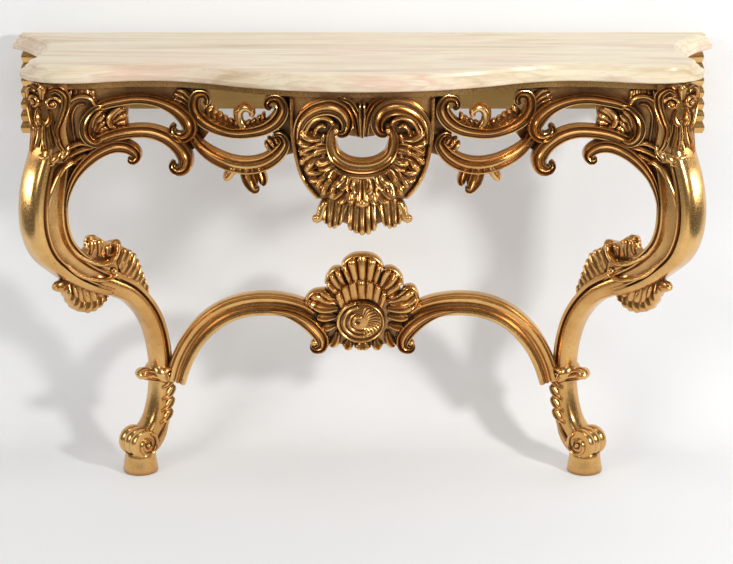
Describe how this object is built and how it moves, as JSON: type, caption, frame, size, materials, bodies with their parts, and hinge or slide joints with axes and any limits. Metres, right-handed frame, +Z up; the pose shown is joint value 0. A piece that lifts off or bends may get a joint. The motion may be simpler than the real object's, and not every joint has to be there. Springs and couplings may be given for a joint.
{
  "type": "pier table",
  "caption": "Wall console with a loose serpentine marble top on a carved gilded frame: scroll legs, pierced scroll apron with centre shell, arched shell stretcher",
  "frame": {"origin": "on the floor under the middle of the top's bounding box", "axes": "+Z up, +X along the front to the right as seen from the front, front faces -Y, wall at +Y"},
  "size_m": [1.424, 0.456, 0.876],
  "materials": {
    "marble": "polished, streaked",
    "gilded_wood": "gold leaf, rubbed, with dark wash in the hollows",
    "ochre_wood": "matt ochre paint",
    "cork": "cork",
    "brass": "aged",
    "steel": "plain"
  },
  "bodies": {
    "frame": {"ankle_leaf_left": "gilded_wood", "ankle_leaf_right": "gilded_wood", "apron_pendant": "gilded_wood", "apron_shell": "gilded_wood", "back_rail": "ochre_wood", "corner_block_left": "ochre_wood", "corner_block_right": "ochre_wood", "cross_batten": "ochre_wood", "foot_dowels": "ochre_wood", "foot_left": "gilded_wood", "foot_right": "gilded_wood", "fret_left": "gilded_wood", "fret_right": "gilded_wood", "front_rail": "gilded_wood", "hanging_leaf_left": "gilded_wood", "hanging_leaf_right": "gilded_wood", "knee_carving_left": "gilded_wood", "knee_carving_right": "gilded_wood", "leg_left": "gilded_wood", "leg_right": "gilded_wood", "rear_stile_left": "gilded_wood", "rear_stile_right": "gilded_wood", "scroll_leaf_left": "gilded_wood", "scroll_leaf_right": "gilded_wood", "side_apron_left": "gilded_wood", "side_apron_right": "gilded_wood", "stretcher_arm_left": "gilded_wood", "stretcher_arm_right": "gilded_wood", "stretcher_cartouche": "gilded_wood", "stretcher_dowels": "ochre_wood", "top_pads": "cork", "wall_plate_left": "brass", "wall_plate_right": "brass", "wall_plate_screws": "steel"},
    "top": {"marble_top": "marble"}
  },
  "joints": [
    {"name": "top_lift", "type": "slide", "parent": "frame", "child": "top", "axis": [0, 0, 1], "range_m": [0, 0.06]}
  ]
}
